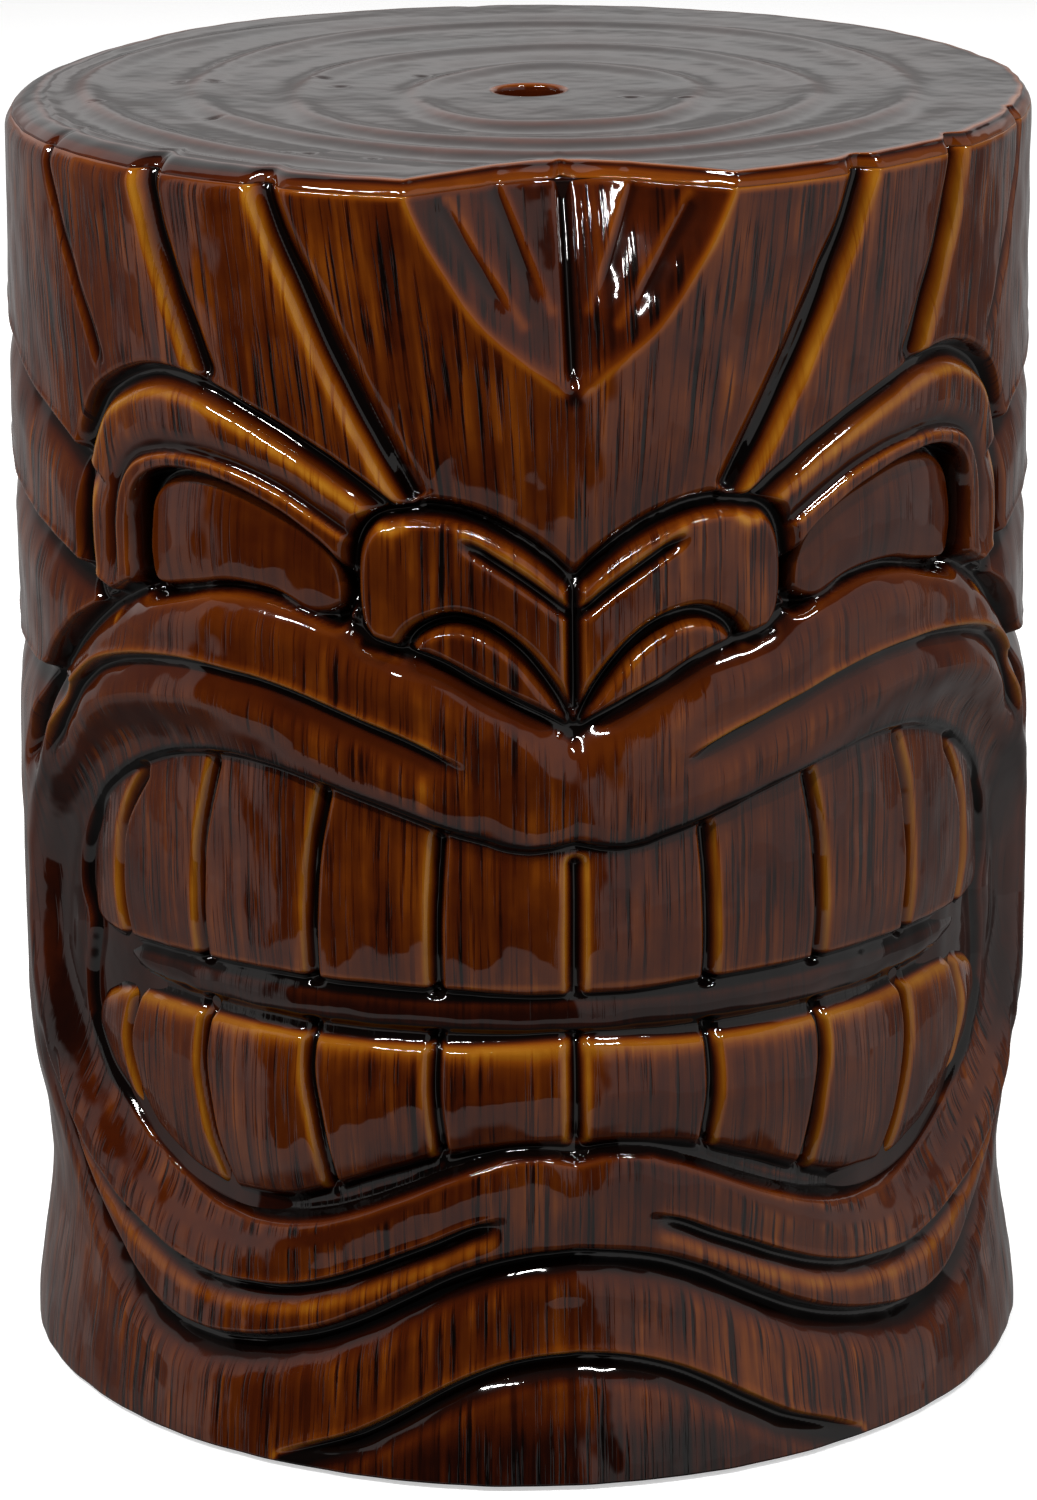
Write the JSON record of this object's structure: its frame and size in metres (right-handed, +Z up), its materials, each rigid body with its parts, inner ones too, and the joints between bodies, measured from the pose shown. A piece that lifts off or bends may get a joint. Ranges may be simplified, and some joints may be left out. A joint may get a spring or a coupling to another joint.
{
  "type": "carved mask drum stool",
  "caption": "Hollow glazed ceramic drum stool with a grinning carved mask on its front, a closed seat with tree rings and a drain hole, and an open underside.",
  "frame": {"origin": "on the floor at the drum's axis, under the foot pads", "axes": "+Z up to the seat, -Y out of the mask's nose, +X to the right of a person looking at the mask"},
  "size_m": [0.3472, 0.3472, 0.435],
  "materials": {
    "brown_glaze": "glossy translucent brown glaze, near black in the grooves and amber where it thins on edges",
    "seat_glaze": "glossy dark brown glaze, reddish on the tops of the rings",
    "bare_clay": "unglazed fired clay, matt",
    "pad_rubber": "matt soft rubber"
  },
  "bodies": {
    "root": {"drum_wall": "brown_glaze", "seat_slab": "seat_glaze", "seam_coil": "bare_clay", "foot_ring": "bare_clay", "foot_pad_1": "pad_rubber", "foot_pad_2": "pad_rubber", "foot_pad_3": "pad_rubber", "foot_pad_4": "pad_rubber"}
  },
  "joints": []
}
